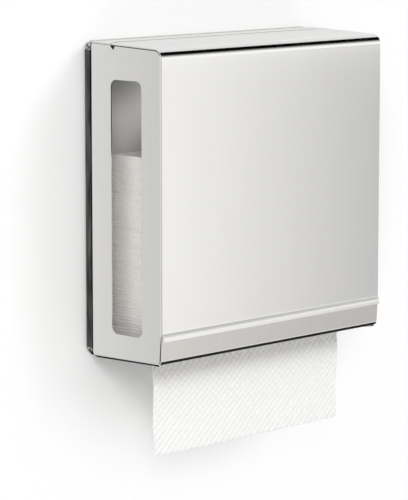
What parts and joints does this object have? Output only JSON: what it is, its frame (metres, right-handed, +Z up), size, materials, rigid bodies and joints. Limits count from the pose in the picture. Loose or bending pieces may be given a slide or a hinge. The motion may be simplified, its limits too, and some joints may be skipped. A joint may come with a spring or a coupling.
{
  "type": "paper towel dispenser",
  "caption": "Wall-held dispenser of bent stainless sheet for folded paper towels, with a top-hinged cover, open viewing slots in its sides and a towel hanging from the mouth below.",
  "frame": {"origin": "middle of the wall plate's back face, on the wall", "axes": "+Y into the wall, -Y out of it towards the user, +Z up, +X to the right as the user faces the dispenser"},
  "size_m": [0.28, 0.1, 0.3631],
  "materials": {
    "satin_steel": "stainless sheet, satin",
    "polished_steel": "drawn stainless pan, polished and darkened",
    "plated_steel": "zinc plated",
    "hinge_steel": "stainless strip, mill finish",
    "silicone": "translucent grey, moulded",
    "towel_stack_paper": "folded embossed tissue",
    "towel_paper": "embossed two-ply tissue"
  },
  "bodies": {
    "casing": {"wall_plate": "polished_steel", "hex_standoffs": "plated_steel", "casing_screws": "plated_steel", "left_side_panel": "satin_steel", "right_side_panel": "satin_steel", "top_rear_strip": "satin_steel", "apron": "satin_steel", "rear_shelf": "satin_steel", "hinge_fixed_leaf": "hinge_steel", "hinge_pin": "hinge_steel", "cover_bumpers": "silicone", "towel_stack": "towel_stack_paper"},
    "cover": {"front_cover": "satin_steel", "hinge_moving_leaf": "hinge_steel"},
    "pulled_towel": {"hanging_towel": "towel_paper"}
  },
  "joints": [
    {"name": "cover_hinge", "type": "hinge", "parent": "casing", "child": "cover", "pos_m": [0, -0.02824, 0.13709], "axis": [-1, 0, 0], "range_deg": [0, 100]},
    {"name": "towel_pull", "type": "slide", "parent": "casing", "child": "pulled_towel", "axis": [0, 0, -1], "range_m": [0, 0.12]}
  ]
}
